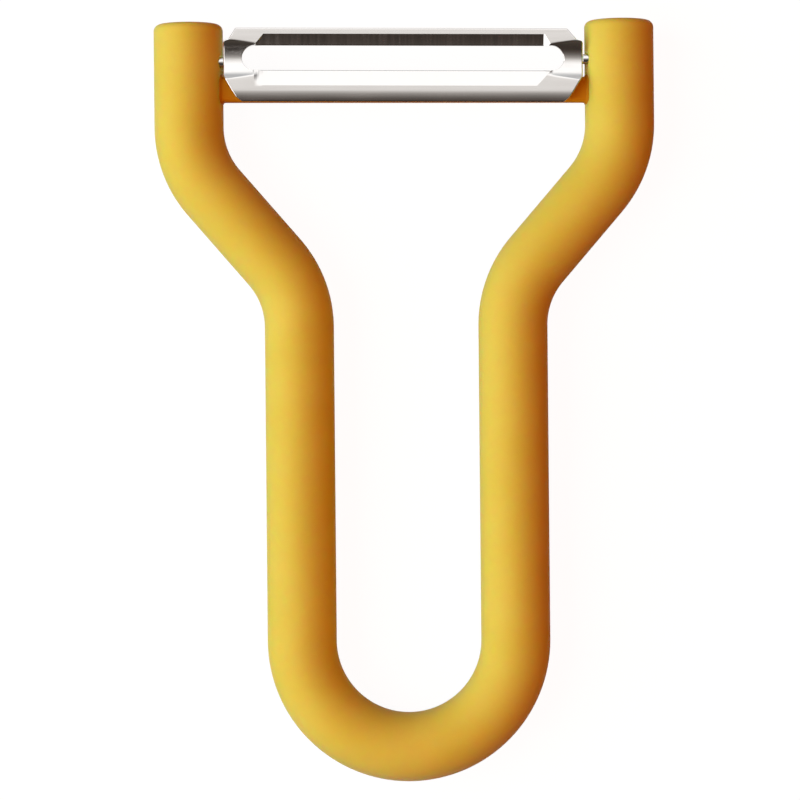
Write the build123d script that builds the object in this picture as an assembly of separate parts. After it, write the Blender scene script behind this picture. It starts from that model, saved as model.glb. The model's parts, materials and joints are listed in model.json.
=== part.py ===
"""Y-shaped vegetable peeler, lying on its back with the cutting side up.

Millimetres. +Y points along the handle to the blade, +X to the right, +Z out of the surface
that the peeler lies on. The origin is on that surface, under the middle of the outline.

Pieces: a soft grip skin moulded over a hollow core, the core's two halves, a bridge bar that ties
the arms, a slotted blade, the two pivot pins welded behind its ends, and a bush for each pin.
"""
from build123d import *
from math import cos, radians, sin, tan
import os

# Handle line, measured along the middle of the tube
tube_diameter = 12.0
arm_spread = 74.8
leg_spread = 37.1
arm_length = 17.9
leg_length = 54.5
bend_radius = 17.4
bend_angle = 40.7
end_rounding = 1.0

# Grip skin and the hollow core inside it
skin_wall = 1.5
bond_gap = 0.05
core_wall = 2.1
hole_clearance = 0.4

# Locating pegs on the joint between the core halves
peg_diameter = 1.2
peg_height = 1.0
peg_clearance = 0.05

# Pivot: where the blade's axis crosses the arms; how far the blade faces up the handle when it
# leans back on the bridge bar, and how far it swings on from there
pivot_below_end = 6.76
pivot_forward = 1.4
rest_tilt = 3.0
swing = 30.0
stop_margin = 1.0

# Blade: sheet steel with its web to the front and a lip bent back along its lower side
sheet = 0.8
web_above_pivot = 5.36
web_below_pivot = 6.06
lip_length = 1.9
lip_angle = 40.0
lip_bend_radius = 1.5
tab_clearance = 0.3
tab_height = 5.8
top_corner_inset = 2.5
shoulder_inset = 0.8
lower_corner_below_pivot = 6.5
lower_corner_inset = 2.2
lip_corner_inset = 3.2
groove_depth = 1.1

# Slot and the two ground bevels that make its long sides the cutting edges
slot_height = 4.26
slot_rise = 0.22
slot_end_margin = 3.25
edge_land = 0.05
top_bevel_width = 1.95
low_bevel_width = 2.77
top_mitre = 1.65
low_mitre = 2.45
top_runout = 1.4
low_runout = 0.5

# Pivot pins and bushes
pin_diameter = 1.8
pin_seat = 0.2
pin_margin = 0.4
running_clearance = 0.05
bush_diameter = 3.4
bush_length = 4.0
bush_cover = 1.6
bush_key_depth = 0.3
press_clearance = 0.02
paddle_width = 2.4
paddle_length = 1.1
paddle_thickness = 0.9
paddle_clearance = 0.1

# Bridge bar behind the blade's lower half, with a thicker head inside each arm
bridge_below_end = 9.5
bridge_height = 4.8
bridge_thickness = 3.0
bridge_rounding = 0.9
bridge_clearance = 0.35
bridge_head_length = 2.8
bridge_head_flare = 0.5
head_inward_share = 0.75

# One overrun for every cut that leaves a face
overrun = 5.0

half_turn = 180.0

# The handle line, worked out from those sizes
tube_radius = tube_diameter / 2
arm_x = arm_spread / 2
leg_x = leg_spread / 2
bend_rad = radians(bend_angle)
slant_length = (arm_x - leg_x - 2 * bend_radius * (1 - cos(bend_rad))) / sin(bend_rad)
shoulder_height = 2 * bend_radius * sin(bend_rad) + slant_length * cos(bend_rad)
overall_length = arm_length + shoulder_height + leg_length + leg_x + tube_radius
arm_end_y = overall_length / 2
shoulder_y = arm_end_y - arm_length
hip_y = shoulder_y - shoulder_height
loop_y = hip_y - leg_length
mid_z = tube_radius

# Radii of the nested tubes
skin_inner_radius = tube_radius - skin_wall
core_radius = skin_inner_radius - bond_gap
hollow_radius = core_radius - core_wall
peg_offset = (core_radius + hollow_radius) / 2

# Blade section, in height above the pivot axis and depth in front of it
pin_radius = pin_diameter / 2
web_front = pin_radius - pin_seat + sheet + groove_depth
web_back = web_front - sheet
lip_rad = radians(lip_angle)
lip_tip = (-web_below_pivot - lip_length * cos(lip_rad), web_front - lip_length * sin(lip_rad))
lip_tip_inside = (lip_tip[0] + sheet * sin(lip_rad), lip_tip[1] - sheet * cos(lip_rad))
lip_corner = (-web_below_pivot, web_front)
lip_inner_corner = (sheet * tan(lip_rad / 2) - web_below_pivot, web_back)
groove_half = tab_height / 2
groove_radius = (groove_half ** 2 + groove_depth ** 2) / (2 * groove_depth)
blade_half = arm_x - tube_radius - tab_clearance
slot_half = blade_half - slot_end_margin
groove_start = slot_half - slot_height / 2
slot_top = slot_rise + slot_height / 2
slot_bottom = slot_rise - slot_height / 2

# Pivot place, bushes and pins along X, measured outwards from the middle
pivot_y = arm_end_y - pivot_below_end
pivot_z = mid_z + pivot_forward
bush_start = arm_x - core_radius + bush_cover
bush_end = bush_start + bush_length
pocket_depth = paddle_length + 2 * paddle_clearance
paddle_start = bush_end - pocket_depth + paddle_clearance
pin_start = slot_half + pin_margin


def swung(point, tilt):
    """Height and depth of a point of the blade section when its front faces up by a tilt."""
    height, depth = point
    turn = radians(tilt)
    return height * cos(turn) + depth * sin(turn), depth * cos(turn) - height * sin(turn)


# The bar's front face lies just behind the lip when the blade leans back
lip_reach = min(swung(lip_tip, rest_tilt)[1], swung(lip_tip_inside, rest_tilt)[1])
bridge_y = arm_end_y - bridge_below_end - bridge_height / 2
bridge_z = pivot_z + lip_reach - bridge_clearance - bridge_thickness / 2
head_x = arm_x - head_inward_share * bridge_head_length + bridge_head_length / 2


def both_sides(shape):
    """The shape and its mirror image in the peeler's middle plane."""
    return shape + mirror(shape, Plane.YZ)


def tube_section(radius, bore, side):
    """Section of a tube, its X towards +Z: whole, or the half on the front (1) or back (-1)."""
    face = Sketch() + Circle(radius)
    if bore:
        face -= Circle(bore)
    if side:
        face &= Pos(side * radius) * Rectangle(2 * radius, 4 * radius)
    return face


def run(start, heading, section, length):
    """A straight tube and the point that it ends at."""
    solid = extrude(Plane(origin=start, x_dir=(0, 0, 1), z_dir=heading) * section, length)
    return solid, start + heading * length


def turn(start, heading, section, bend, angle):
    """A bent tube, its end point and its new heading; a positive angle turns left."""
    spin = Vector(0, 0, 1 if angle > 0 else -1)
    centre = start + spin.cross(heading) * bend
    face = Plane(origin=start, x_dir=(0, 0, 1), z_dir=heading) * section
    solid = revolve(face, Axis(centre, spin), abs(angle))
    end = centre + (start - centre).rotate(Axis.Z, angle)
    return solid, end, heading.rotate(Axis.Z, angle)


def left_arm(radius, top_y, side=0):
    """The left arm as a solid rod, from a height down to the shoulder."""
    return run(Vector(-arm_x, top_y, mid_z), Vector(0, -1, 0), tube_section(radius, 0, side),
               top_y - shoulder_y)[0]


def left_leg(radius, bore, side=0):
    """The left side of the handle below the arm: shoulder, slant, hip and leg."""
    section = tube_section(radius, bore, side)
    place = Vector(-arm_x, shoulder_y, mid_z)
    heading = Vector(0, -1, 0)
    shoulder, place, heading = turn(place, heading, section, bend_radius, bend_angle)
    slant, place = run(place, heading, section, slant_length)
    hip, place, heading = turn(place, heading, section, bend_radius, -bend_angle)
    leg, place = run(place, heading, section, leg_length)
    return shoulder + slant + hip + leg


def loop(radius, bore, side=0):
    """The half round at the bottom that joins the legs."""
    start = Vector(-leg_x, loop_y, mid_z)
    return turn(start, Vector(0, -1, 0), tube_section(radius, bore, side), leg_x, half_turn)[0]


def cross_rod(radius, start, end):
    """A rod on the pivot axis at the right, between two distances from the middle."""
    section = Plane.YZ.offset(start) * Pos(pivot_y, pivot_z) * Circle(radius)
    return extrude(section, end - start)


def bridge_bar(grow=0.0):
    """The bar with a head at each end that the core's halves trap, grown for its pocket."""
    section = Plane.YZ * Pos(bridge_y, bridge_z) * RectangleRounded(
        bridge_height + 2 * grow, bridge_thickness + 2 * grow, bridge_rounding + grow)
    bar = extrude(section, head_x, both=True)
    head = Pos(head_x, bridge_y, bridge_z) * Box(
        bridge_head_length + 2 * grow, bridge_height + 2 * grow,
        bridge_thickness + 2 * (bridge_head_flare + grow))
    return bar + both_sides(head)


def bush_body(grow=0.0):
    """The right bush's outside: a rod with a flat that keys it in the core, grown for its pocket."""
    radius = bush_diameter / 2 + grow
    flat = bush_diameter / 2 - bush_key_depth + grow
    section = Circle(radius) & Pos(0, (radius - flat) / 2) * Rectangle(2 * radius, radius + flat)
    place = Plane.YZ.offset(bush_start - grow) * Pos(pivot_y, pivot_z)
    return extrude(place * section, bush_length + 2 * grow)


def bush_pocket():
    """The space that the core leaves for the right bush."""
    return bush_body(press_clearance)


def bush_throat():
    """The way from the core's joint up to the bush's middle, through which the bush is laid in."""
    middle = Pos(bush_start + bush_length / 2, pivot_y, (pivot_z + mid_z) / 2)
    return middle * Box(bush_length + 2 * press_clearance, bush_diameter + 2 * press_clearance,
                        pivot_z - mid_z)


def make_skin():
    """Grip skin: the round tube with eased arm ends, hollow for the core, open for pins and bar."""
    arm = left_arm(tube_radius, arm_end_y)
    arm = fillet(arm.edges().filter_by(GeomType.CIRCLE).group_by(Axis.Y)[-1], end_rounding)
    arm -= left_arm(skin_inner_radius, arm_end_y - skin_wall)
    skin = both_sides(arm + left_leg(tube_radius, skin_inner_radius))
    skin += loop(tube_radius, skin_inner_radius)
    skin -= both_sides(cross_rod(pin_radius + hole_clearance, blade_half, arm_x))
    return skin - bridge_bar(bond_gap)


def core_pegs(radius, height):
    """Pegs that stand on the core's joint: on each arm's head, each leg's ends and the loop."""
    place = Plane.XY.offset(mid_z)
    outer_x = leg_x + peg_offset
    spots = [(arm_x, (bridge_y - bridge_height / 2 + shoulder_y) / 2), (outer_x, hip_y), (outer_x, loop_y)]
    pegs = [place * Pos(side * x, y) * Circle(radius) for x, y in spots for side in (-1, 1)]
    pegs.append(place * Pos(0, loop_y - leg_x - peg_offset) * Circle(radius))
    return extrude(Sketch() + pegs, height)


def core_half(side):
    """The core's front (1) or back (-1) half, with the pockets for the bushes and the bridge."""
    arm = left_arm(core_radius, arm_end_y - skin_wall - bond_gap, side)
    half = both_sides(arm + left_leg(core_radius, hollow_radius, side))
    half += loop(core_radius, hollow_radius, side)
    half -= both_sides(bush_pocket())
    half -= both_sides(cross_rod(pin_radius + hole_clearance, blade_half, bush_start))
    return half - bridge_bar(bond_gap)


def make_core():
    """The core's halves, parted on the tube's middle plane: pegs on the back, holes in the front."""
    front = core_half(1) - both_sides(bush_throat())
    front -= core_pegs(peg_diameter / 2 + peg_clearance, peg_height + peg_clearance)
    back = core_half(-1) + core_pegs(peg_diameter / 2, peg_height)
    return front, back


def lipped_section():
    """Section of the blade between its ends, in height along X and depth along Y of the sketch."""
    face = make_face(Polyline(lip_tip, lip_corner, (web_above_pivot, web_front),
                              (web_above_pivot, web_back), lip_inner_corner, lip_tip_inside,
                              close=True))
    for corner, radius in ((lip_corner, lip_bend_radius), (lip_inner_corner, lip_bend_radius - sheet)):
        face = fillet(face.vertices().sort_by_distance(corner)[0], radius)
    return face


def grooved_section(section):
    """The same section with the pressed groove that the pin lies behind."""
    centre = Pos(0, web_front - groove_depth + groove_radius)
    low_side = Pos(0, web_back - overrun / 2) * Rectangle(4 * groove_half, overrun)
    bulge = (centre * Circle(groove_radius + sheet)) & low_side
    return section + bulge - centre * Circle(groove_radius)


def end_outline():
    """Plan of the right half of the blade, along X and the blade's height."""
    top = web_above_pivot + overrun
    bottom = lip_tip[0] - overrun
    corners = [(0, top), (blade_half - top_corner_inset, top),
               (blade_half - top_corner_inset, web_above_pivot), (blade_half - shoulder_inset, groove_half),
               (blade_half, groove_half), (blade_half, -groove_half),
               (blade_half - lower_corner_inset, -lower_corner_below_pivot),
               (blade_half - lip_corner_inset, lip_tip[0]), (blade_half - lip_corner_inset, bottom),
               (0, bottom)]
    return make_face(Polyline(*corners, close=True))


def bevel_cut(edge, width, mitre, runout):
    """Wedge ground off the front above an edge: mitred at the left end, square at the right."""
    slope = (sheet - edge_land) / width
    beyond = width + overrun
    low_depth = web_back + edge_land
    wedge = make_face(Polyline((edge, low_depth), (edge + beyond, low_depth + slope * beyond),
                               (edge, low_depth + slope * beyond), close=True))
    solid = extrude(Plane.YZ * wedge, groove_start, both=True)
    mitre_run = mitre * beyond / width
    square_end = groove_start - runout
    plan = make_face(Polyline((-groove_start, edge), (mitre_run - groove_start, edge + beyond),
                              (square_end, edge + beyond), (square_end, edge), close=True))
    return solid & extrude(plan, overrun + web_front)


def make_flat_blade():
    """The blade before it is tilted, with the pivot axis along X through the origin."""
    section = lipped_section()
    blade = extrude(Plane.YZ * section, groove_start, both=True)
    end = extrude(Plane.YZ.offset(groove_start) * grooved_section(section), blade_half - groove_start)
    blade += both_sides(end)
    depth = overrun + web_front
    blade &= both_sides(extrude(end_outline(), depth, both=True))
    slot = Pos(0, slot_rise) * SlotOverall(2 * slot_half, slot_height)
    blade -= extrude(slot, depth, both=True)
    blade -= bevel_cut(slot_top, top_bevel_width, top_mitre, top_runout)
    return blade - Rot(0, 0, half_turn) * bevel_cut(-slot_bottom, low_bevel_width, low_mitre, low_runout)


def make_flat_pin(flat_blade):
    """The right pin: a rod seated against the groove's back, with a flat paddle at its far end."""
    rod = extrude(Plane.YZ.offset(pin_start) * Circle(pin_radius), paddle_start - pin_start)
    paddle = extrude(Plane.YZ.offset(paddle_start) * Rectangle(paddle_width, paddle_thickness),
                     paddle_length)
    return rod - flat_blade + paddle


def make_bush():
    """The right bush: keyed outside, a running bore, and a pocket whose sides stop the paddle."""
    body = bush_body()
    body -= cross_rod(pin_radius + running_clearance, bush_start, bush_end)
    slot = Rectangle(paddle_width + 2 * paddle_clearance, paddle_thickness)
    swept = Rot(0, 0, stop_margin - rest_tilt) * slot
    swept += Rot(0, 0, -rest_tilt - swing - stop_margin) * slot
    place = Plane.YZ.offset(bush_end - pocket_depth) * Pos(pivot_y, pivot_z)
    return body - extrude(place * swept, pocket_depth)


def make_parts():
    """Every piece of the peeler under its node's name."""
    flat_blade = make_flat_blade()
    rest = Pos(0, pivot_y, pivot_z) * Rot(-rest_tilt, 0, 0)
    pin = rest * make_flat_pin(flat_blade)
    bush = make_bush()
    core_front, core_back = make_core()
    return {
        "grip_skin": make_skin(),
        "core_front_half": core_front,
        "core_back_half": core_back,
        "bridge_bar": bridge_bar(),
        "peeling_blade": rest * flat_blade,
        "pivot_pin_right": pin,
        "pivot_pin_left": mirror(pin, Plane.YZ),
        "pivot_bush_right": bush,
        "pivot_bush_left": mirror(bush, Plane.YZ),
    }


os.makedirs("parts", exist_ok=True)
for name, shape in make_parts().items():
    export_step(shape, f"parts/{name}.step")
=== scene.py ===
"""Looks of a Y-shaped vegetable peeler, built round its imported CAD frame.

The peeler lies on its back: +Y runs along the handle to the blade, +X to the right and +Z out of
the surface that it lies on. All lengths are in metres.
"""
from __future__ import annotations

import json
import logging
import math
from dataclasses import dataclass
from enum import Enum

import bmesh
import bpy
import numpy as np
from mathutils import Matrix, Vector

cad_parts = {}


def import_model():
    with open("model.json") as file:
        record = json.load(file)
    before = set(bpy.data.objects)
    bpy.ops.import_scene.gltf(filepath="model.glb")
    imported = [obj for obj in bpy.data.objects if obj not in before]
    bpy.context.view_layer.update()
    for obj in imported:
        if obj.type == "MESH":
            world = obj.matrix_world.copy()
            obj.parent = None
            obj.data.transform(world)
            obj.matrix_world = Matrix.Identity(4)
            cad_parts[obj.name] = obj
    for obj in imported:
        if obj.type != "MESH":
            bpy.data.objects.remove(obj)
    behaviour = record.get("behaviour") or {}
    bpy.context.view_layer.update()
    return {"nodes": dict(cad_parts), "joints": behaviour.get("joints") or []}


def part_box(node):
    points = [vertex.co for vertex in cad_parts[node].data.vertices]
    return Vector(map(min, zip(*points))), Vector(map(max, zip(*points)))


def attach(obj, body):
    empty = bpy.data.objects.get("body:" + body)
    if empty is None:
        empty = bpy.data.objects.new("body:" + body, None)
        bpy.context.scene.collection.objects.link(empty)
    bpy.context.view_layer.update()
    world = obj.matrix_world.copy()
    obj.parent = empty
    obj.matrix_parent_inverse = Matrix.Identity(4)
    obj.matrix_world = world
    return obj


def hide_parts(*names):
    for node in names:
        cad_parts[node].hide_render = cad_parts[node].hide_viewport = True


MM = 0.001
LOG = logging.getLogger("peeler")
NOISE_RANGE = (0.3, 0.7)
CLOUD_RANGE = (0.35, 0.65)
WHITE = (1.0, 1.0, 1.0, 1.0)


def smoothstep(low: float, high: float, value: np.ndarray) -> np.ndarray:
    """A smooth rise from 0 at low to 1 at high: 3t^2 - 2t^3 of the clipped share t.

    Args:
        low: where the rise starts.
        high: where the rise ends.
        value: the values to map.

    Returns:
        The risen values, between 0 and 1.
    """
    share = np.clip((value - low) / (high - low), 0.0, 1.0)
    return share * share * (3.0 - 2.0 * share)


def follow(knots: np.ndarray, turns: np.ndarray, along: np.ndarray) -> tuple[np.ndarray, ...]:
    """Follows a line of straights and arcs whose heading turns evenly between knots.

    A straight adds its length times the cosine and sine of its heading; an arc adds the change of
    sine, and of minus cosine, over its rate of turn.

    Args:
        knots: distances along the line where straights and arcs meet.
        turns: the heading at each knot, in radians.
        along: the distances to work out.

    Returns:
        How far forwards and how far sideways the line has come, and its heading, at each distance.
    """
    forwards = np.zeros_like(along)
    sideways = np.zeros_like(along)
    for low, high, first, last in zip(knots[:-1], knots[1:], turns[:-1], turns[1:]):
        done = np.clip(along - low, 0.0, high - low)
        if first == last:
            forwards += done * math.cos(first)
            sideways += done * math.sin(first)
        else:
            rate = (last - first) / (high - low)
            turn = first + rate * done
            forwards += (np.sin(turn) - math.sin(first)) / rate
            sideways += (math.cos(first) - np.cos(turn)) / rate
    return forwards, sideways, np.interp(along, knots, turns)


def grid_faces(rows: int, columns: int, wrap: bool) -> np.ndarray:
    """Quads of a grid of points that is stored row by row.

    Args:
        rows: points down the grid.
        columns: points across it.
        wrap: whether the last column joins the first.

    Returns:
        An array of four point numbers for each face.
    """
    across = np.arange(columns if wrap else columns - 1)
    row = np.arange(rows - 1)[:, None]
    near = row * columns + across
    far = row * columns + (across + 1) % columns
    return np.stack([near, far, far + columns, near + columns], -1).reshape(-1, 4)


def mesh_piece(name: str, points: np.ndarray, faces: list, material: bpy.types.Material,
               smooth: bool = True) -> bpy.types.Object:
    """A mesh object at the origin, made of whole arrays.

    Args:
        name: the piece's name.
        points: its points, one row each.
        faces: its faces, as lists of point numbers.
        material: its finish.
        smooth: whether its faces are shaded smooth.

    Returns:
        The new object, linked to the scene.
    """
    mesh = bpy.data.meshes.new(name)
    mesh.from_pydata(points.tolist(), [], faces)
    mesh.polygons.foreach_set("use_smooth", np.full(len(mesh.polygons), smooth))
    mesh.materials.append(material)
    mesh.update()
    piece = bpy.data.objects.new(name, mesh)
    bpy.context.scene.collection.objects.link(piece)
    return piece


def seal(piece: bpy.types.Object, crease: float) -> None:
    """Joins a piece's surfaces into one closed shell that faces outwards, and marks its creases.

    Args:
        piece: the piece, whose surfaces meet point to point.
        crease: the angle above which an edge stays sharp.
    """
    shell = bmesh.new()
    shell.from_mesh(piece.data)
    bmesh.ops.remove_doubles(shell, verts=shell.verts, dist=0.001 * MM)
    bmesh.ops.recalc_face_normals(shell, faces=shell.faces)
    shell.to_mesh(piece.data)
    shell.free()
    piece.data.set_sharp_from_angle(angle=crease)
    flat = piece.modifiers.new("flat faces stay flat", "WEIGHTED_NORMAL")
    flat.keep_sharp = True


class Nodes:
    """A short way to write a node tree: each call adds a node, sets it and links it."""

    def __init__(self, tree: bpy.types.NodeTree) -> None:
        """Starts on an emptied tree."""
        self.tree = tree
        tree.nodes.clear()

    def add(self, kind: str, settings: dict | None = None, **inputs) -> bpy.types.Node:
        """Adds a node.

        Args:
            kind: the node type without its ShaderNode prefix.
            settings: properties of the node itself.
            inputs: socket values or other nodes' outputs, by the socket's name with an underscore
                for each space, or by i and its number.

        Returns:
            The node.
        """
        node = self.tree.nodes.new("ShaderNode" + kind)
        for key, value in (settings or {}).items():
            setattr(node, key, value)
        for key, value in inputs.items():
            socket = node.inputs[int(key[1:]) if key[1:].isdigit() else key.replace("_", " ")]
            if isinstance(value, bpy.types.NodeSocket):
                self.tree.links.new(value, socket)
            else:
                socket.default_value = value
        return node

    def maths(self, operation: str, first, second=0.0) -> bpy.types.NodeSocket:
        """The output of a Math node with one or two inputs."""
        return self.add("Math", {"operation": operation}, i0=first, i1=second).outputs[0]

    def noise(self, where: bpy.types.NodeSocket, scale: float,
              detail: float) -> bpy.types.NodeSocket:
        """The factor of a noise texture at a place."""
        return self.add("TexNoise", Vector=where, Scale=scale, Detail=detail).outputs["Fac"]

    def ramp(self, value: bpy.types.NodeSocket, low: float, high: float, to_low: float,
             to_high: float) -> bpy.types.NodeSocket:
        """A clamped linear map from one range to another."""
        return self.add("MapRange", Value=value, From_Min=low, From_Max=high, To_Min=to_low,
                        To_Max=to_high).outputs[0]

    def gradient(self, value: bpy.types.NodeSocket, stops: list) -> bpy.types.NodeSocket:
        """A colour for a value between 0 and 1.

        Args:
            value: the value.
            stops: pairs of a place and a colour, in order.

        Returns:
            The colour.
        """
        node = self.add("ValToRGB", Fac=value)
        elements = node.color_ramp.elements
        elements[0].position, elements[1].position = stops[0][0], stops[-1][0]
        elements[0].color, elements[1].color = (*stops[0][1], 1.0), (*stops[-1][1], 1.0)
        for at, colour in stops[1:-1]:
            elements.new(at).color = (*colour, 1.0)
        return node.outputs[0]


def new_material(name: str) -> tuple[bpy.types.Material, Nodes]:
    """A new material of a name, and its node tree to write."""
    material = bpy.data.materials.new(name)
    material.use_nodes = True
    return material, Nodes(material.node_tree)


class Brushing(Enum):
    """The way that a steel face's fine scratches run: how finely noise repeats along X, Y and Z."""

    LENGTHWISE = (40.0, 2600.0, 2600.0)
    CROSSWISE = (2600.0, 90.0, 90.0)


@dataclass(frozen=True)
class SiliconeFinish:
    """Matt soft-touch silicone with a fine grain and a little light carried inside it.

    A second noise, the dust, is dust_size times coarser than the grain. It also changes the
    roughness, from smoothest below its middle value to roughest above it.
    """

    name: str = "soft silicone"
    colour: tuple[float, float, float] = (0.86, 0.79, 0.12)
    deep_colour: tuple[float, float, float] = (0.83, 0.76, 0.10)
    cloud_scale: float = 90.0
    roughness: float = 0.56
    smoothest: float = -0.03
    roughest: float = 0.05
    grain_scale: float = 5200.0
    grain_depth: float = 0.012 * MM
    dust_size: float = 6.0
    dust_height: float = 0.8
    scatter_depth: float = 2.6 * MM
    scatter_share: float = 0.85
    scatter_reach: tuple[float, float, float] = (1.0, 0.35, 0.1)
    specular: float = 0.12
    sheen: float = 0.25
    sheen_roughness: float = 0.5

    def build(self) -> bpy.types.Material:
        """Makes the material: two grains of noise bump, a cloudy tint, and scattering."""
        material, nodes = new_material(self.name)
        place = nodes.add("TexCoord").outputs["Object"]
        cloud = nodes.noise(place, self.cloud_scale, 2.0)
        tint = nodes.add("Mix", {"data_type": "RGBA"},
                         Factor=nodes.ramp(cloud, *CLOUD_RANGE, 0.0, 1.0),
                         i6=(*self.colour, 1.0), i7=(*self.deep_colour, 1.0))
        grain = nodes.noise(place, self.grain_scale, 2.0)
        dust = nodes.noise(place, self.grain_scale / self.dust_size, 3.0)
        height = nodes.maths("ADD", grain, nodes.maths("MULTIPLY", dust, self.dust_height))
        bump = nodes.add("Bump", Strength=1.0, Distance=self.grain_depth, Height=height)
        rough = nodes.ramp(dust, *NOISE_RANGE, self.roughness + self.smoothest,
                           self.roughness + self.roughest)
        shader = nodes.add("BsdfPrincipled", Base_Color=tint.outputs[2], Roughness=rough,
                           Normal=bump.outputs[0], Subsurface_Weight=self.scatter_share,
                           Subsurface_Radius=self.scatter_reach,
                           Subsurface_Scale=self.scatter_depth, Specular_IOR_Level=self.specular,
                           Sheen_Weight=self.sheen, Sheen_Roughness=self.sheen_roughness)
        nodes.add("OutputMaterial", Surface=shader.outputs[0])
        return material


@dataclass(frozen=True)
class SteelFinish:
    """Brushed or ground stainless steel.

    The scratches change the roughness by the spread either way, and wipe marks add the wiped range.
    """

    name: str
    brushing: Brushing
    roughness: float
    spread: float = 0.05
    wipe_scale: float = 160.0
    wiped: tuple[float, float] = (-0.02, 0.04)
    colour: tuple[float, float, float] = (0.66, 0.645, 0.63)
    scratch_depth: float = 0.002 * MM

    def build(self) -> bpy.types.Material:
        """Makes the material: noise drawn out along the brushing drives bump and roughness."""
        material, nodes = new_material(self.name)
        place = nodes.add("TexCoord").outputs["Object"]
        drawn = nodes.add("Mapping", Vector=place, Scale=self.brushing.value)
        scratch = nodes.noise(drawn.outputs[0], 1.0, 3.0)
        wipe = nodes.noise(place, self.wipe_scale, 3.0)
        rough = nodes.maths("ADD", nodes.ramp(scratch, *NOISE_RANGE, self.roughness - self.spread,
                                              self.roughness + self.spread),
                            nodes.ramp(wipe, *NOISE_RANGE, *self.wiped))
        bump = nodes.add("Bump", Strength=1.0, Distance=self.scratch_depth, Height=scratch)
        shader = nodes.add("BsdfPrincipled", Base_Color=(*self.colour, 1.0), Metallic=1.0,
                           Roughness=rough, Normal=bump.outputs[0])
        nodes.add("OutputMaterial", Surface=shader.outputs[0])
        return material


@dataclass(frozen=True)
class PlasticFinish:
    """Moulded engineering plastic, for the pieces inside the skin."""

    name: str
    colour: tuple[float, float, float]
    roughness: float = 0.45
    spread: float = 0.05
    grain_scale: float = 2400.0
    grain_depth: float = 0.01 * MM
    grain_strength: float = 0.6

    def build(self) -> bpy.types.Material:
        """Makes the material: a fine even grain that also varies the roughness."""
        material, nodes = new_material(self.name)
        place = nodes.add("TexCoord").outputs["Object"]
        grain = nodes.noise(place, self.grain_scale, 3.0)
        bump = nodes.add("Bump", Strength=self.grain_strength, Distance=self.grain_depth,
                         Height=grain)
        rough = nodes.ramp(grain, *NOISE_RANGE, self.roughness - self.spread,
                           self.roughness + self.spread)
        shader = nodes.add("BsdfPrincipled", Base_Color=(*self.colour, 1.0), Roughness=rough,
                           Normal=bump.outputs[0])
        nodes.add("OutputMaterial", Surface=shader.outputs[0])
        return material


@dataclass
class HandleLine:
    """The line along the middle of the handle: arm, bend, slant, bend, leg and half the loop."""

    tube_radius: float = 6.0 * MM
    arm_x: float = 37.4 * MM
    leg_x: float = 18.55 * MM
    arm_length: float = 17.9 * MM
    leg_length: float = 54.5 * MM
    bend_radius: float = 17.4 * MM
    bend_angle: float = math.radians(40.7)

    def __post_init__(self) -> None:
        """Works out the slant, the whole half length, and where straights and arcs meet."""
        spread = self.arm_x - self.leg_x - 2 * self.bend_radius * (1 - math.cos(self.bend_angle))
        slant = spread / math.sin(self.bend_angle)
        drop = 2 * self.bend_radius * math.sin(self.bend_angle) + slant * math.cos(self.bend_angle)
        self.end_y = (self.arm_length + drop + self.leg_length + self.leg_x + self.tube_radius) / 2
        bend = self.bend_radius * self.bend_angle
        self.knots = np.cumsum([0.0, self.arm_length, bend, slant, bend, self.leg_length,
                                self.leg_x * math.pi / 2])
        self.turns = np.array([0.0, 0.0, self.bend_angle, self.bend_angle, 0.0, 0.0, math.pi / 2])

    @property
    def length(self) -> float:
        """The length of the whole line, from arm end to arm end."""
        return 2 * float(self.knots[-1])

    def place(self, along: np.ndarray) -> tuple[np.ndarray, np.ndarray]:
        """Points of the line and its heading, at distances from the left arm's end.

        The left half is followed from its arm's end; the right half mirrors it.

        Args:
            along: distances from the left arm's end.

        Returns:
            X and Y of each point, and the line's turn there from straight down.
        """
        near = np.minimum(along, self.length - along)
        down, inwards, turn = follow(self.knots, self.turns, near)
        left = along <= self.length / 2
        x = inwards - self.arm_x
        points = np.stack([np.where(left, x, -x), self.end_y - down], -1)
        return points, np.where(left, turn, math.pi - turn)


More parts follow.
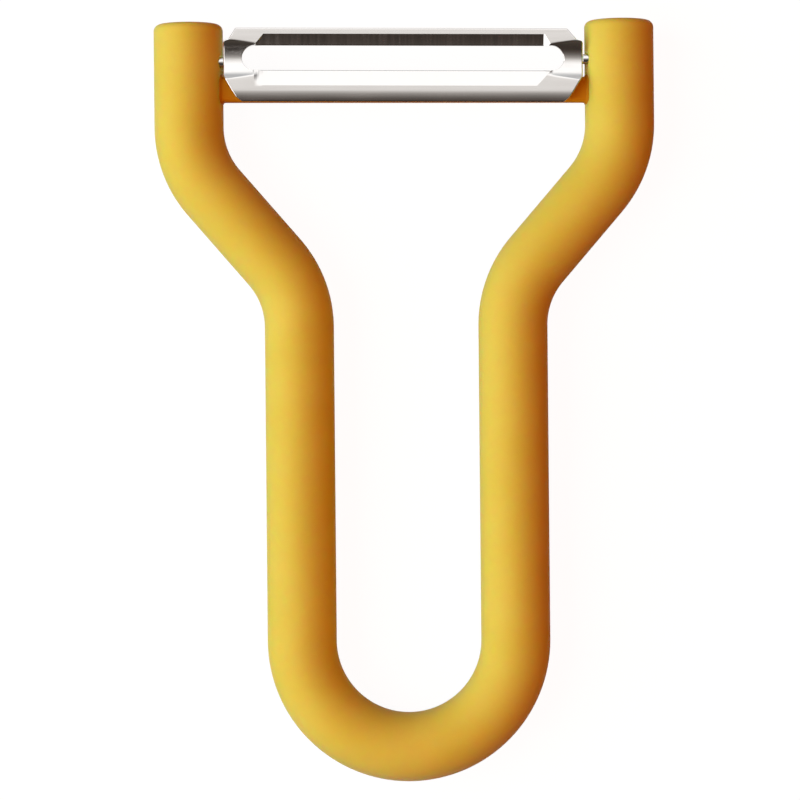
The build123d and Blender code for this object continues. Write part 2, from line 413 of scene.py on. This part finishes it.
@dataclass
class Grip:
    """The soft skin over the handle, dished shallowly where the pivot pins enter.

    Its rings lie fine_step apart at the dishes and coarse_step apart elsewhere.
    """

    line: HandleLine
    finish: bpy.types.Material
    pivot_y: float
    pivot_z: float
    end_rounding: float = 1.2 * MM
    hole_radius: float = 1.1 * MM
    hole_lip: float = 0.25 * MM
    hole_depth: float = 0.35 * MM
    cap_rings: int = 7
    edge_rings: int = 9
    around: int = 168
    crowding: float = 0.62
    coarse_step: float = 0.9 * MM
    fine_step: float = 0.14 * MM

    def stations(self) -> tuple[np.ndarray, np.ndarray]:
        """Distances along the line and the tube's radius there, with closed and eased ends.

        Returns:
            The distances and the radii, one for each ring.
        """
        radius, rounding = self.line.tube_radius, self.end_rounding
        ease = np.linspace(0.0, math.pi / 2, self.edge_rings)
        flat = np.linspace(0.0, radius - rounding, self.cap_rings)[:-1]
        end_along = np.concatenate([np.zeros_like(flat), rounding * (1 - np.cos(ease))])
        end_radius = np.concatenate([flat, radius - rounding + rounding * np.sin(ease)])
        pivot = self.line.end_y - self.pivot_y
        reach = self.hole_radius + 2 * self.hole_lip
        gap = self.coarse_step / 2
        before = np.arange(rounding + gap, pivot - reach, self.coarse_step)
        fine = np.arange(pivot - reach, pivot + reach, self.fine_step)
        after = np.arange(pivot + reach + gap, self.line.length / 2, self.coarse_step)
        half = np.concatenate([end_along, before, fine, after])
        tube = np.full(len(before) + len(fine) + len(after), radius)
        half_radius = np.concatenate([end_radius, tube])
        along = np.concatenate([half, self.line.length - half[::-1]])
        return along, np.concatenate([half_radius, half_radius[::-1]])

    def angles(self) -> np.ndarray:
        """Angles round the tube, from the pin hole on its inner side and crowded there."""
        even = 2 * math.pi * np.linspace(0.0, 1.0, self.around, endpoint=False)
        hole = math.asin((self.pivot_z - self.line.tube_radius) / self.line.tube_radius)
        return even - self.crowding * np.sin(even) + hole

    def build(self) -> bpy.types.Object:
        """Makes the skin: point = line + radius (cos a * inward side + sin a * up).

        The inner sides are dished where the pins enter.

        Returns:
            The skin's object.
        """
        along, radius = self.stations()
        place, turn = self.line.place(along)
        side = np.stack([np.cos(turn), np.sin(turn)], -1)
        angle = self.angles()
        out = radius[:, None] * np.cos(angle)
        points = np.empty((len(along), self.around, 3))
        points[..., :2] = place[:, None, :] + out[..., None] * side[:, None, :]
        points[..., 2] = self.line.tube_radius + radius[:, None] * np.sin(angle)
        from_axis = np.hypot(points[..., 1] - self.pivot_y, points[..., 2] - self.pivot_z)
        inner = np.abs(points[..., 0]) < self.line.arm_x
        dish = 1 - smoothstep(self.hole_radius - self.hole_lip, self.hole_radius + self.hole_lip,
                              from_axis)
        points[..., 0] += np.where(inner, np.sign(points[..., 0]) * dish * self.hole_depth, 0.0)
        rings = len(along) - 2
        body = points[1:-1].reshape(-1, 3)
        poles = points[[0, -1], 0]
        faces = grid_faces(rings, self.around, True)[:, ::-1].tolist()
        step = np.arange(self.around)
        after = (step + 1) % self.around
        last = (rings - 1) * self.around
        start_pole = np.full(self.around, rings * self.around)
        faces += np.stack([start_pole, step, after], -1).tolist()
        faces += np.stack([start_pole + 1, last + after, last + step], -1).tolist()
        return mesh_piece("grip_skin_soft", np.concatenate([body, poles]), faces, self.finish)


@dataclass
class Bridge:
    """The bar behind the blade, flared where it meets the arms and a hair askew like the blade."""

    line: HandleLine
    finish: bpy.types.Material
    low: Vector
    high: Vector
    thickness: float = 3.0 * MM
    rounding: float = 0.9 * MM
    flare: float = 0.4 * MM
    sink: float = 0.4 * MM
    lift: float = 0.35 * MM
    skew: float = math.radians(-0.5)
    along: int = 121
    corner: int = 8

    def section(self) -> tuple[np.ndarray, np.ndarray]:
        """The bar's rounded rectangle: quarter circles at its four corners.

        Returns:
            Y and Z of each point from the bar's middle, and its outward direction.
        """
        turns = np.arange(4)[:, None] * math.pi / 2
        angle = (np.linspace(0, math.pi / 2, self.corner) + turns).ravel()
        out = np.stack([np.cos(angle), np.sin(angle)], -1)
        half = np.array([self.high.y - self.low.y - self.lift, self.thickness]) / 2 - self.rounding
        quarter = np.repeat(np.arange(4), self.corner)
        signs = np.array([[1, 1], [-1, 1], [-1, -1], [1, -1]])[quarter]
        return signs * half + self.rounding * out, out

    def build(self) -> bpy.types.Object:
        """Makes the bar: its section swept along X and grown by a fillet's height near each arm.

        The growth at a distance d from the arm's surface is r - sqrt(r^2 - (r - d)^2) within r.

        Returns:
            The bar's object.
        """
        section, out = self.section()
        middle = np.array([self.high.y + self.low.y + self.lift, self.high.z + self.low.z]) / 2
        share = np.sin(np.linspace(-math.pi / 2, math.pi / 2, self.along))
        height = section[:, 1] + middle[1] - self.line.tube_radius
        arm_half = np.sqrt(np.clip(self.line.tube_radius ** 2 - height ** 2, 0, None))
        reach = self.line.arm_x - arm_half
        x = share[:, None] * (reach + self.sink)
        gap = np.clip(reach - np.abs(x), 0, self.flare)
        grow = self.flare - np.sqrt(self.flare ** 2 - (self.flare - gap) ** 2)
        points = np.empty((self.along, len(section), 3))
        points[..., 0] = x
        points[..., 1:] = middle + section + grow[..., None] * out
        points[..., 1] += x * math.sin(self.skew)
        faces = grid_faces(self.along, len(section), True).tolist()
        columns = len(section)
        faces.append(list(range(columns))[::-1])
        faces.append([(self.along - 1) * columns + k for k in range(columns)])
        return mesh_piece("bridge_bar_soft", points.reshape(-1, 3), faces, self.finish)


@dataclass
class PlatePatch:
    """A grid of points on the blade's sheet, and which of its faces are ground.

    Each point has a place across the sheet, one along its section, and a depth ground off.
    """

    across: np.ndarray
    along: np.ndarray
    ground: np.ndarray
    is_ground: np.ndarray


@dataclass
class Blade:
    """The slotted blade: a flat sheet with a bent lip, two ground bevels and a groove at each end.

    Heights and depths are taken from the pivot axis, with the blade's face level; the blade then
    leans by its rest tilt and lies a hair askew and to the left in its bearings, as in the
    photograph. Fields whose names end in _mm are in millimetres.
    """

    pivot_y: float
    pivot_z: float
    brushed: bpy.types.Material
    ground: bpy.types.Material
    rest_tilt: float = math.radians(3.0)
    skew: float = math.radians(-0.63)
    end_play: float = -0.15 * MM
    sheet: float = 0.8 * MM
    front: float = 2.6 * MM
    above: float = 5.36 * MM
    below: float = 7.57 * MM
    bend_angle: float = math.radians(18.0)
    tip_angle: float = math.radians(40.0)
    lip_radius: float = 5.9 * MM
    curl_radius: float = 0.9 * MM
    half_length: float = 31.1 * MM
    slot_half: float = 27.85 * MM
    slot_radius: float = 2.13 * MM
    slot_rise: float = 0.22 * MM
    top_bevel: float = 1.95 * MM
    low_bevel: float = 2.77 * MM
    bevel_depth: float = 0.70 * MM
    hollow: float = 0.12
    hone_width: float = 0.12 * MM
    hone_depth: float = 0.775 * MM
    groove_radius: float = 5.2 * MM
    groove_depth: float = 1.35 * MM
    groove_start_depth: float = 0.8 * MM
    groove_middle: float = -0.1 * MM
    rim_rounding: float = 0.22 * MM
    tip_rounding: float = 0.06 * MM
    slot_rounding: float = 0.14 * MM
    back_rounding: float = 0.10 * MM
    edge_rounding: float = 0.012 * MM
    groove_easing: float = 0.05 * MM
    groove_margin: float = 0.6 * MM
    groove_fade: tuple[float, float] = (-0.9 * MM, 0.3 * MM)
    end_heights_mm: tuple[float, ...] = (
        -7.5, -7.3, -6.6, -3.05, -2.75, 2.8, 3.0, 3.1, 3.3, 5.1, 5.36)
    end_reaches_mm: tuple[float, ...] = (
        27.8, 28.1, 28.9, 31.0, 31.1, 31.1, 31.0, 30.6, 30.1, 28.8, 28.45)
    corner_heights_mm: tuple[float, float] = (2.9, 5.1)
    corner_askew_mm: float = 0.3
    end_columns: tuple[float, ...] = (
        0.0, 0.02, 0.06, 0.12, 0.2, 0.3, 0.4, 0.5, 0.6, 0.7, 0.8, 0.88, 0.94, 0.98, 1.0)
    low_web_mm: tuple[float, ...] = (-5.1, -4.9)
    low_bevel_mm: tuple[float, ...] = (-4.3, -4.0, -3.8)
    low_shoulder_mm: tuple[float, float, int] = (-3.64, -2.2, 20)
    top_shoulder_mm: tuple[float, float, int] = (2.56, 3.6, 15)
    top_bevel_mm: tuple[float, ...] = (3.8,)
    top_web_mm: tuple[float, ...] = (4.6, 5.0)
    bend_rows: int = 15
    slot_rows: int = 33
    arris_steps: int = 8
    crease: float = math.radians(14.0)

    def __post_init__(self) -> None:
        """Works out the slot's and the bevels' edges, and the sheet's section."""
        self.slot_turn = self.slot_half - self.slot_radius
        self.low_outer = self.slot_rise - self.slot_radius - self.low_bevel
        self.top_outer = self.slot_rise + self.slot_radius + self.top_bevel
        self.slot_top = self.slot_rise + self.slot_radius + self.edge_rounding
        self.slot_bottom = self.slot_rise - self.slot_radius - self.edge_rounding
        bend_rise = self.lip_radius * math.sin(self.bend_angle)
        curl_rise = self.curl_radius * (math.sin(self.tip_angle) - math.sin(self.bend_angle))
        curl_drop = self.curl_radius * (math.cos(self.bend_angle) - math.cos(self.tip_angle))
        self.bend_start = bend_rise + curl_rise - self.below
        self.bend_end = self.bend_start - self.lip_radius * self.bend_angle
        self.lip_tip = self.bend_end - self.curl_radius * (self.tip_angle - self.bend_angle)
        self.tip_depth = self.front - self.lip_radius * (1 - math.cos(self.bend_angle)) - curl_drop
        self.knots = np.array([self.lip_tip, self.bend_end, self.bend_start, self.above])
        self.turns = np.array([-self.tip_angle, -self.bend_angle, 0.0, 0.0])

    def section(self, along: np.ndarray) -> tuple[np.ndarray, ...]:
        """Height, depth and heading of the sheet's front at distances along its section.

        On the flat web the distance is the height itself; the lip is followed from its tip through
        a short curl and a gentle bend.

        Args:
            along: distances along the section.

        Returns:
            The height and depth of each point, and the sheet's heading there.
        """
        up, back, turn = follow(self.knots, self.turns, along)
        return up - self.below, self.tip_depth - back, turn

    def pressed(self, across: np.ndarray, height: np.ndarray) -> np.ndarray:
        """How far the groove presses the sheet back.

        The groove is a round trough that gets deeper towards the blade's end. The press is
        sqrt(R^2 - h^2) less R minus the depth, at a height h from the groove's middle, kept above
        zero and eased.

        Args:
            across: distances from the blade's middle.
            height: heights above the pivot axis.

        Returns:
            The press at each point.
        """
        out = np.abs(across)
        share = (out - self.slot_turn) / (self.half_length - self.slot_turn)
        depth = self.groove_start_depth + (self.groove_depth - self.groove_start_depth) * share
        from_middle = height - self.groove_middle
        rise = np.sqrt(np.clip(self.groove_radius ** 2 - from_middle ** 2, 0.0, None))
        over = rise - (self.groove_radius - depth)
        eased = (over + np.sqrt(over ** 2 + self.groove_easing ** 2)) / 2
        low, high = self.groove_fade
        fade = smoothstep(self.slot_turn + low, self.slot_turn + high, out)
        return np.where(over < -self.groove_margin, 0.0, eased) * fade

    def bent(self, across: np.ndarray, along: np.ndarray, depth: np.ndarray) -> np.ndarray:
        """Points of the sheet at a depth under its front, in the peeler's own frame.

        Args:
            across: distances from the blade's middle.
            along: distances along its section.
            depth: depths under its front.

        Returns:
            The points, with X, Y and Z last.
        """
        height, front, turn = self.section(along)
        forth = front - depth * np.cos(turn) - self.pressed(across, height)
        height = height - depth * np.sin(turn)
        up = height * math.cos(self.rest_tilt) + forth * math.sin(self.rest_tilt)
        z = self.pivot_z + forth * math.cos(self.rest_tilt) - height * math.sin(self.rest_tilt)
        x = self.end_play + across * math.cos(self.skew) - up * math.sin(self.skew)
        y = self.pivot_y + across * math.sin(self.skew) + up * math.cos(self.skew)
        return np.stack([x, y, z], -1)

    def end_line(self, along: np.ndarray, side: int) -> np.ndarray:
        """How far an end reaches at distances along the section: corners joined by lines.

        Args:
            along: distances along the section.
            side: 1 for the right end and -1 for the left, where the top corner lies further out.

        Returns:
            The reach at each distance.
        """
        height = self.section(along)[0] / MM
        askew = np.interp(height, self.corner_heights_mm, [0.0, self.corner_askew_mm])
        reach = np.interp(height, self.end_heights_mm, self.end_reaches_mm)
        return (reach - side * askew) * MM

    def strip(self, rows: np.ndarray, outer: float, keys: list[tuple[float, float, float]],
              counts: list[int]) -> PlatePatch:
        """A strip beside the slot, whose columns follow the ends of its bevel.

        Each key is a column's place at the slot's edge, its place at the bevel's outer edge, and
        the share of the bevel's depth that is ground there. Between keys all three change evenly.
        Along a column the ground depth is D (w (1 + h) - h w^2) for a share w of the bevel's
        width, with hollow h, and then the honed edge.

        Args:
            rows: distances along the section, the slot's edge first or last.
            outer: where the bevel ends on the web.
            keys: the key columns from left to right, in millimetres.
            counts: the steps between one key and the next.

        Returns:
            The strip's grid.
        """
        edge = self.slot_top if outer > 0 else self.slot_bottom
        width = abs(outer - edge)
        steps = np.concatenate([[0.0], np.cumsum(counts)])
        column = np.arange(steps[-1] + 1)
        at_edge, at_outer, share = (np.interp(column, steps, values) for values in np.array(keys).T)
        away = np.clip(np.abs(outer - rows) / width, 0.0, 1.0) * (np.abs(rows) < abs(outer))
        across = (at_outer + (at_edge - at_outer) * away[:, None]) * MM
        main = 1.0 - self.hone_width / width
        ratio = np.clip(away / main, 0.0, 1.0)
        depth = self.bevel_depth * (ratio * (1 + self.hollow) - self.hollow * ratio ** 2)
        hone = np.clip((away - main) / (1.0 - main), 0.0, 1.0)
        depth = depth + (self.hone_depth - self.bevel_depth) * hone
        ground = depth[:, None] * share
        middle = (rows[1:] + rows[:-1]) / 2
        middle_share = (share[1:] + share[:-1]) / 2
        is_ground = (np.abs(middle) < abs(outer))[:, None] & (middle_share > 0.0)
        return PlatePatch(across, np.broadcast_to(rows[:, None], across.shape), ground, is_ground)

    def end(self, rows: np.ndarray, side: int) -> PlatePatch:
        """The sheet between the slot's round end and the blade's end, one row at each height.

        A row starts at the slot's turn, or within the slot's height on the circle round it, and
        runs to the end line less the rim's rounding.

        Args:
            rows: distances along the section.
            side: 1 for the right end and -1 for the left.

        Returns:
            The end's grid.
        """
        sine = np.clip((rows - self.slot_rise) / (self.slot_top - self.slot_rise), -1.0, 1.0)
        cosine = np.sqrt(1.0 - sine ** 2)
        radius = self.slot_radius + self.slot_end_rounding(sine)
        start = self.slot_turn + radius * cosine
        stop = self.end_line(rows, side) - self.rim_rounding
        share = np.array(self.end_columns)
        across = start[:, None] + (stop - start)[:, None] * share
        across = across[:, ::-1] * side if side < 0 else across
        along = np.broadcast_to(rows[:, None], across.shape)
        flat = np.zeros(across.shape)
        return PlatePatch(across, along, flat, np.zeros((len(rows) - 1, len(share) - 1), bool))

    def slot_end_rounding(self, sine: np.ndarray) -> np.ndarray:
        """The slot edge's rounding round its end: none at the cutting edges, full at the middle."""
        return self.edge_rounding + (self.slot_rounding - self.edge_rounding) * (1.0 - sine ** 2)

    def rows(self) -> tuple[np.ndarray, np.ndarray, np.ndarray]:
        """Distances along the section: below the slot, over the slot's height, and above it.

        Rows lie close together in the lip's bend, at the groove's two shoulders and at the slot.
        """
        low = np.concatenate([
            [self.lip_tip + self.rim_rounding, (self.lip_tip + self.bend_end) / 2],
            np.linspace(self.bend_end, self.bend_start, self.bend_rows),
            np.array(self.low_web_mm) * MM, [self.low_outer], np.array(self.low_bevel_mm) * MM,
            np.linspace(*self.low_shoulder_mm) * MM,
            [self.slot_bottom - self.hone_width, self.slot_bottom]])
        angle = np.linspace(-math.pi / 2, math.pi / 2, self.slot_rows)[1:-1]
        slot = self.slot_rise + (self.slot_top - self.slot_rise) * np.sin(angle)
        top = np.concatenate([
            [self.slot_top, self.slot_top + self.hone_width],
            np.linspace(*self.top_shoulder_mm) * MM, np.array(self.top_bevel_mm) * MM,
            [self.top_outer], np.array(self.top_web_mm) * MM, [self.above - self.rim_rounding]])
        return low, slot, top

    def patches(self) -> list[PlatePatch]:
        """The sheet's four grids: the strips below and above the slot, and its two ends.

        The strips' keys give each bevel its run-outs: a short blend at the left and a mitre at the
        right below the slot, and a mitre at the left and a square end at the right above it.
        """
        low, slot, top = self.rows()
        turn = self.slot_turn / MM
        low_keys = [
            (-turn, -turn, 0.0), (-turn + 0.02, -25.68, 0.0), (-25.2, -25.1, 0.5),
            (-24.9, -24.7, 0.7), (-24.0, -24.0, 1.0), (25.6, 23.22, 1.0),
            (turn - 0.05, 23.26, 0.4), (turn - 0.03, 23.27, 0.0), (turn, turn, 0.0)]
        top_keys = [
            (-turn, -turn, 0.0), (-turn + 0.02, -24.12, 0.0), (-turn + 0.06, -24.08, 0.5),
            (-25.52, -23.94, 1.0), (24.33, 24.33, 1.0), (24.6, 24.4, 0.75),
            (turn - 0.06, 24.5, 0.0), (turn, turn, 0.0)]
        below = self.strip(low, self.low_outer, low_keys, [2, 4, 3, 6, 40, 2, 1, 2])
        above = self.strip(top, self.top_outer, top_keys, [2, 1, 2, 40, 2, 4, 2])
        every = np.concatenate([low, slot, top])
        return [below, above, self.end(every, 1), self.end(every, -1)]

    def rim(self, across: np.ndarray, along: np.ndarray, ground: np.ndarray,
            rounding: np.ndarray) -> np.ndarray:
        """The wall round an edge of the sheet, with rounded arrises.

        The edge is first carried out sideways while it sinks by a quarter circle, then drops to the
        back and returns by a second quarter circle.

        Args:
            across: the edge's points, in order with the metal on their left.
            along: their distances along the section.
            ground: the depth ground off at each.
            rounding: the rounding of the front arris at each.

        Returns:
            The wall's points, one row for each step from front to back.
        """
        edge = np.stack([across, along])
        step = np.roll(edge, -1, axis=1) - np.roll(edge, 1, axis=1)
        step /= np.hypot(*step)
        out_across, out_along = step[1], -step[0]
        back = np.minimum(self.back_rounding, rounding)
        angle = np.linspace(0.0, math.pi / 2, self.arris_steps)[:, None]
        out = np.concatenate([rounding * np.sin(angle), rounding - back * (1 - np.cos(angle)),
                              np.zeros((1, len(across)))])
        depth = np.concatenate([ground + rounding * (1 - np.cos(angle)),
                                self.sheet - back * (1 - np.sin(angle)),
                                np.full((1, len(across)), self.sheet)])
        return self.bent(across + out * out_across, along + out * out_along, depth)

    def rims(self, patches: list[PlatePatch]) -> list[np.ndarray]:
        """The walls round the sheet's outline and round its slot.

        Args:
            patches: the grids from patches().

        Returns:
            The points of both walls.
        """
        below, above, right, left = patches
        slot_rows = slice(len(below.along), len(below.along) + len(self.rows()[1]))
        onward, back = slice(None), slice(None, None, -1)
        outline = self.chain([
            (left, (0, onward)), (below, (0, onward)), (right, (0, onward)), (right, (onward, -1)),
            (right, (-1, back)), (above, (-1, back)), (left, (-1, back)), (left, (back, 0))])
        right_arc = self.piece_of(right, (slot_rows, 0))[:, ::-1]
        left_arc = self.piece_of(left, (slot_rows, -1))
        slot = np.concatenate([self.piece_of(above, (0, onward)), right_arc,
                               self.piece_of(below, (-1, back)), left_arc], axis=1)
        sine = np.clip((slot[1] - self.slot_rise) / (self.slot_top - self.slot_rise), -1.0, 1.0)
        rounding = np.interp(outline[1], [self.bend_end, self.bend_start],
                             [self.tip_rounding, self.rim_rounding])
        return [self.rim(*outline, rounding), self.rim(*slot, self.slot_end_rounding(sine))]

    @staticmethod
    def piece_of(patch: PlatePatch, where: tuple) -> np.ndarray:
        """One row or column of a grid: its places across, along, and its ground depths."""
        return np.stack([patch.across[where], patch.along[where], patch.ground[where]])

    def chain(self, pieces: list[tuple[PlatePatch, tuple]]) -> np.ndarray:
        """Joins rows and columns end to end; each one's last point is the next one's first."""
        return np.concatenate([self.piece_of(*piece)[:, :-1] for piece in pieces], axis=1)

    def build(self) -> bpy.types.Object:
        """Makes the blade: each grid at its ground depth and at the sheet's back, and the walls.

        Returns:
            The blade's object, with ground steel on its bevels and brushed steel elsewhere.
        """
        patches = self.patches()
        points, faces, ground, count = [], [], [], 0
        for patch in patches:
            quads = grid_faces(*patch.across.shape, False)
            for depth, order in ((patch.ground, 1), (np.full(patch.across.shape, self.sheet), -1)):
                points.append(self.bent(patch.across, patch.along, depth).reshape(-1, 3))
                faces.append(quads[:, ::order] + count)
                ground.append(patch.is_ground.ravel() & (order > 0))
                count += patch.across.size
        for wall in self.rims(patches):
            quads = grid_faces(*wall.shape[:2], True)[:, ::-1] + count
            points.append(wall.reshape(-1, 3))
            faces.append(quads)
            ground.append(np.zeros(len(quads), bool))
            count += wall.shape[0] * wall.shape[1]
        piece = mesh_piece("blade_steel", np.concatenate(points), np.concatenate(faces).tolist(),
                           self.brushed)
        piece.data.materials.append(self.ground)
        piece.data.polygons.foreach_set("material_index", np.concatenate(ground).astype(np.int32))
        seal(piece, self.crease)
        return piece


@dataclass(frozen=True)
class Softbox:
    """A flat lamp that points at the peeler."""

    name: str
    place: tuple[float, float, float]
    size: tuple[float, float]
    watts: float

    def build(self) -> None:
        """Hangs the lamp and turns it to the origin."""
        lamp = bpy.data.lights.new(self.name, "AREA")
        lamp.shape = "RECTANGLE"
        lamp.size, lamp.size_y = self.size
        lamp.energy = self.watts
        holder = bpy.data.objects.new(self.name, lamp)
        holder.location = self.place
        holder.rotation_euler = Vector(self.place).to_track_quat("Z", "Y").to_euler()
        bpy.context.scene.collection.objects.link(holder)


@dataclass
class Studio:
    """The pale floor, the world's light and the camera."""

    floor_half: float = 2.0
    floor_grey: float = 0.12
    floor_glow: float = 0.96
    ambient: tuple[float, float, float] = (0.11, 0.04, 0.006)
    warm: tuple[float, float, float] = (0.62, 0.11, 0.0)
    warm_from: tuple[float, float, float] = (0.45, -0.1, 0.888)
    ceiling: tuple[tuple[float, float, float, float], ...] = (
        (-90.0, 0.15, 0.125, 0.10), (-60.0, 0.075, 0.064, 0.053), (-45.0, 0.05, 0.044, 0.038),
        (-31.0, 0.046, 0.04, 0.035), (-20.0, 0.10, 0.092, 0.083), (-11.0, 0.205, 0.193, 0.182),
        (-2.0, 0.385, 0.368, 0.35), (6.0, 0.70, 0.68, 0.655), (11.5, 1.13, 1.11, 1.09),
        (16.0, 1.28, 1.26, 1.24), (26.0, 1.6, 1.6, 1.6), (60.0, 1.6, 1.6, 1.6),
        (73.0, 0.72, 0.74, 0.76), (90.0, 0.62, 0.64, 0.66))
    side_shades: tuple[float, float] = (0.35, 0.12)
    side_from: float = 0.30
    side_to: float = 0.75
    wall_top: tuple[float, float] = (0.04, 0.10)
    warm_spread: float = 0.35
    camera_height: float = 0.6
    focus_height: float = 6 * MM
    camera_clip: float = 10.0
    middle: tuple[float, float] = (-1.19 * MM, 0.338 * MM)
    roll: float = math.radians(0.53)
    frame_width: float = 139.0 * MM

    def white_rays(self, nodes: Nodes) -> bpy.types.NodeSocket:
        """1 for rays from the camera or by way of metal or glass, and 0 for the rest."""
        path = nodes.add("LightPath").outputs
        seen = nodes.maths("MAXIMUM", path["Is Camera Ray"], path["Is Glossy Ray"])
        return nodes.maths("MAXIMUM", seen, path["Is Transmission Ray"])

    def build_floor(self) -> None:
        """Lays the floor: plain grey that shows white to the camera but keeps the shadow."""
        material, nodes = new_material("studio floor")
        matt = nodes.add("BsdfDiffuse", Color=(*[self.floor_grey] * 3, 1.0))
        glow = nodes.add("Emission", Strength=nodes.maths("MULTIPLY", self.white_rays(nodes),
                                                          self.floor_glow))
        both = nodes.add("AddShader", i0=matt.outputs[0], i1=glow.outputs[0])
        nodes.add("OutputMaterial", Surface=both.outputs[0])
        half = self.floor_half
        corners = np.array([[-half, -half, 0], [half, -half, 0], [half, half, 0], [-half, half, 0]])
        floor = mesh_piece("floor", corners, [[0, 1, 2, 3]], material, smooth=False)

    def build_world(self) -> None:
        """Lights the world like a studio, with a white wall all round.

        The ceiling is bright beyond the blade, dark on the handle's side and dimmer to the left and
        right. Matt surfaces get a dim light instead, which is warmer from the upper right.
        """
        world = bpy.data.worlds.new("studio")
        bpy.context.scene.world = world
        world.use_nodes = True
        nodes = Nodes(world.node_tree)
        direction = nodes.add("TexCoord").outputs["Generated"]
        towards = nodes.add("SeparateXYZ", Vector=direction).outputs
        lean = nodes.maths("ARCTAN2", towards["Y"], towards["Z"])
        stops = [((angle + 90.0) / 180.0, colour) for angle, *colour in self.ceiling]
        ceiling = nodes.gradient(nodes.ramp(lean, -math.pi / 2, math.pi / 2, 0.0, 1.0), stops)
        left, right = self.side_shades
        shade = nodes.maths(
            "MULTIPLY", nodes.ramp(towards["X"], self.side_from, self.side_to, 1.0, right),
            nodes.ramp(towards["X"], -self.side_to, -self.side_from, left, 1.0))
        shaded = nodes.add("VectorMath", {"operation": "SCALE"}, i0=ceiling, Scale=shade)
        wall = nodes.ramp(towards["Z"], *self.wall_top, 1.0, 0.0)
        room = nodes.add("Mix", {"data_type": "RGBA"}, Factor=wall, i6=shaded.outputs[0], i7=WHITE)
        seen = nodes.add("Background", Color=room.outputs[2])
        facing = nodes.add("VectorMath", {"operation": "DOT_PRODUCT"}, i0=direction,
                           i1=self.warm_from).outputs["Value"]
        warmest = tuple(a + w for a, w in zip(self.ambient, self.warm))
        glow = nodes.add("Mix", {"data_type": "RGBA"},
                         Factor=nodes.ramp(facing, self.warm_spread, 1.0, 0.0, 1.0),
                         i6=(*self.ambient, 1.0), i7=(*warmest, 1.0))
        dim = nodes.add("Background", Color=glow.outputs[2])
        both = nodes.add("MixShader", i0=self.white_rays(nodes), i1=dim.outputs[0],
                         i2=seen.outputs[0])
        nodes.add("OutputWorld", Surface=both.outputs[0])

    def build_camera(self) -> None:
        """Puts a long lens straight above the peeler, as the photograph was taken."""
        lens = bpy.data.cameras.new("camera")
        lens.lens = lens.sensor_width * self.camera_height / self.frame_width
        lens.clip_end = self.camera_clip
        camera = bpy.data.objects.new("camera", lens)
        camera.location = (*self.middle, self.camera_height + self.focus_height)
        camera.rotation_euler = (0.0, 0.0, -self.roll)
        bpy.context.scene.collection.objects.link(camera)
        bpy.context.scene.camera = camera


def place(piece: bpy.types.Object, body: str, node: str, slot: str) -> None:
    """Puts a piece on its body in place of a node, and hides the node.

    Args:
        piece: the new piece.
        body: the body that it moves with.
        node: the node that it stands for.
        slot: not used.
    """
    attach(piece, body)
    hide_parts(node)
    LOG.info("%s stands for %s on %s", piece.name, node, body)


def main() -> None:
    """Builds every piece round the frame and reports it."""
    logging.basicConfig(level=logging.INFO)
    bpy.ops.wm.read_factory_settings(use_empty=True)
    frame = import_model()
    bpy.context.scene.view_settings.view_transform = "Standard"

    _, pivot_y, pivot_z = frame["joints"][0]["pos_m"]
    line = HandleLine()
    silicone = SiliconeFinish().build()
    place(Grip(line, silicone, pivot_y, pivot_z).build(), "handle", "grip_skin", "skin")
    # The bar's colour is a darker, redder copy of the skin's yellow: painted shade for the shade
    # that the blade casts on the bar.
    shade_painted_bar = SiliconeFinish("amber nylon", (0.66, 0.30, 0.01), (0.62, 0.27, 0.008),
                           scatter_share=0.0, specular=0.04, sheen=0.0).build()
    place(Bridge(line, shade_painted_bar, *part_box("bridge_bar")).build(), "handle", "bridge_bar", "bridge")

    brushed = SteelFinish("brushed steel", Brushing.LENGTHWISE, roughness=0.16).build()
    ground = SteelFinish("ground steel", Brushing.CROSSWISE, roughness=0.17).build()
    place(Blade(pivot_y, pivot_z, brushed, ground).build(), "blade", "peeling_blade", "blade")

    turned = SteelFinish("turned steel", Brushing.CROSSWISE, roughness=0.18).build()
    nylon = PlasticFinish("nylon", (0.42, 0.22, 0.02)).build()
    acetal = PlasticFinish("acetal", (0.7, 0.68, 0.62), 0.35).build()
    finishes = {"pivot_pin_left": turned, "pivot_pin_right": turned,
                "core_front_half": nylon, "core_back_half": nylon,
                "pivot_bush_left": acetal, "pivot_bush_right": acetal}
    for node, finish in finishes.items():
        frame["nodes"][node].data.materials.clear()
        frame["nodes"][node].data.materials.append(finish)
        LOG.info("dressed %s", node)

    studio = Studio()
    studio.build_floor()
    studio.build_world()
    studio.build_camera()
    Softbox("key", (-0.92, -0.03, 0.64), (1.3, 1.3), 12.8).build()

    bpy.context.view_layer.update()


if __name__ == "__main__":
    main()
